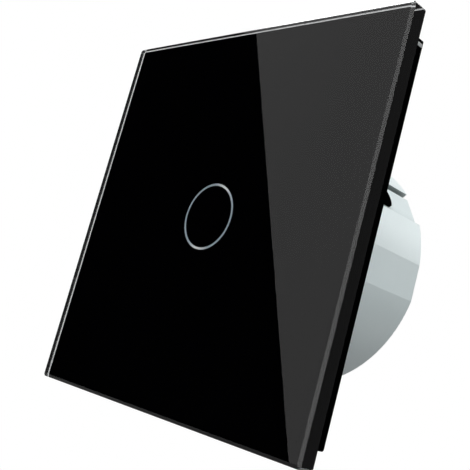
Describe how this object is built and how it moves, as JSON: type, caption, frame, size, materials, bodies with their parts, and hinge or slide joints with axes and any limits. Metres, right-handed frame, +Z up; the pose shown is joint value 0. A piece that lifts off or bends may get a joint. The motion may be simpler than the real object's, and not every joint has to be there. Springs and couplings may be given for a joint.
{
  "type": "touch light switch",
  "caption": "Square black glass touch light switch on a slim frame, with a round drum housing behind for a wall box.",
  "frame": {"origin": "middle of the wall plane, on the axis of the drum and of the wall box", "axes": "+Y goes into the wall, +Z up, +X to the right as seen from the room; the glass faces -Y"},
  "size_m": [0.08, 0.0375, 0.08],
  "materials": {
    "float_glass": "polished clear glass",
    "black_ink": "opaque black print behind the glass",
    "silver_ink": "translucent silver print",
    "foam_tape": "black foam tape",
    "black_plastic": "fine matt moulded ABS",
    "light_grey_plastic": "satin moulded polycarbonate",
    "bracket_steel": "zinc plated pressed sheet",
    "screw_steel": "bright zinc plate",
    "clear_acrylic": "polished clear acrylic",
    "spring_steel": "bright drawn wire",
    "circuit_board": "green solder resist on glass epoxy",
    "chip_epoxy": "moulded epoxy",
    "led_epoxy": "clear epoxy",
    "chip_ceramic": "fired ceramic",
    "gold_plated_brass": "gold flash on brass",
    "relay_plastic": "blue moulded polyester",
    "bobbin_nylon": "natural nylon",
    "copper_wire": "enamelled copper wire",
    "soft_iron": "nickel plated soft iron",
    "contact_brass": "bright brass strip",
    "capacitor_sleeve": "shrunk vinyl sleeve",
    "film_case": "yellow moulded case",
    "ferrite": "sintered ferrite",
    "fuse_glass": "glass barrel with plated caps",
    "varistor_coat": "dipped epoxy coat",
    "cage_steel": "zinc plated steel"
  },
  "bodies": {
    "module": {"mounting_bracket": "bracket_steel", "rear_housing": "light_grey_plastic", "module_cover": "black_plastic", "module_screws": "screw_steel", "light_guide": "clear_acrylic", "touch_spring": "spring_steel", "sensor_board": "circuit_board", "touch_chip": "chip_epoxy", "indicator_leds": "led_epoxy", "sensor_chip_parts": "chip_ceramic", "sensor_board_screws": "screw_steel", "pin_header_body": "black_plastic", "header_pins": "gold_plated_brass", "power_board": "circuit_board", "power_board_screws": "screw_steel", "relay_base": "relay_plastic", "relay_cover": "relay_plastic", "relay_bobbin": "bobbin_nylon", "relay_winding": "copper_wire", "relay_core": "soft_iron", "relay_yoke": "soft_iron", "relay_fixed_contact": "contact_brass", "smoothing_capacitor": "capacitor_sleeve", "film_capacitor": "film_case", "transformer_core": "ferrite", "transformer_winding": "copper_wire", "bridge_rectifier": "chip_epoxy", "fuse": "fuse_glass", "varistor": "varistor_coat", "terminal_block": "light_grey_plastic", "terminal_bars": "contact_brass"},
    "panel": {"glass_panel": "float_glass", "black_print": "black_ink", "ring_print": "silver_ink", "adhesive_tape": "foam_tape", "panel_frame": "black_plastic"},
    "relay_armature": {"relay_armature": "soft_iron", "relay_contact_spring": "contact_brass"},
    "terminal_screw_1": {"terminal_screw_1": "screw_steel"},
    "terminal_cage_1": {"terminal_cage_1": "cage_steel"},
    "terminal_screw_2": {"terminal_screw_2": "screw_steel"},
    "terminal_cage_2": {"terminal_cage_2": "cage_steel"}
  },
  "joints": [
    {"name": "panel_pull", "type": "slide", "parent": "module", "child": "panel", "axis": [0, -1, 0], "range_m": [0, 0.02]},
    {"name": "relay_armature_tilt", "type": "hinge", "parent": "module", "child": "relay_armature", "pos_m": [0.0066, 0.0225, 0.0092], "axis": [0, 0, 1], "range_deg": [0, 2.8], "stiffness_Nm_per_rad": 0.002},
    {"name": "terminal_cage_1_travel", "type": "slide", "parent": "module", "child": "terminal_cage_1", "axis": [0, 0, -1], "range_m": [0, 0.0022]},
    {"name": "terminal_screw_1_turn", "type": "hinge", "parent": "module", "child": "terminal_screw_1", "pos_m": [-0.0052, 0.0205, -0.0235], "axis": [0, 0, 1], "range_deg": [0, 1590]},
    {"name": "terminal_cage_2_travel", "type": "slide", "parent": "module", "child": "terminal_cage_2", "axis": [0, 0, -1], "range_m": [0, 0.0022]},
    {"name": "terminal_screw_2_turn", "type": "hinge", "parent": "module", "child": "terminal_screw_2", "pos_m": [0.0052, 0.0205, -0.0235], "axis": [0, 0, 1], "range_deg": [0, 1590]}
  ],
  "couplings": [
    {"joint": "terminal_screw_1_turn", "follows": "terminal_cage_1_travel", "rad_per_m": 12566},
    {"joint": "terminal_screw_2_turn", "follows": "terminal_cage_2_travel", "rad_per_m": 12566}
  ]
}
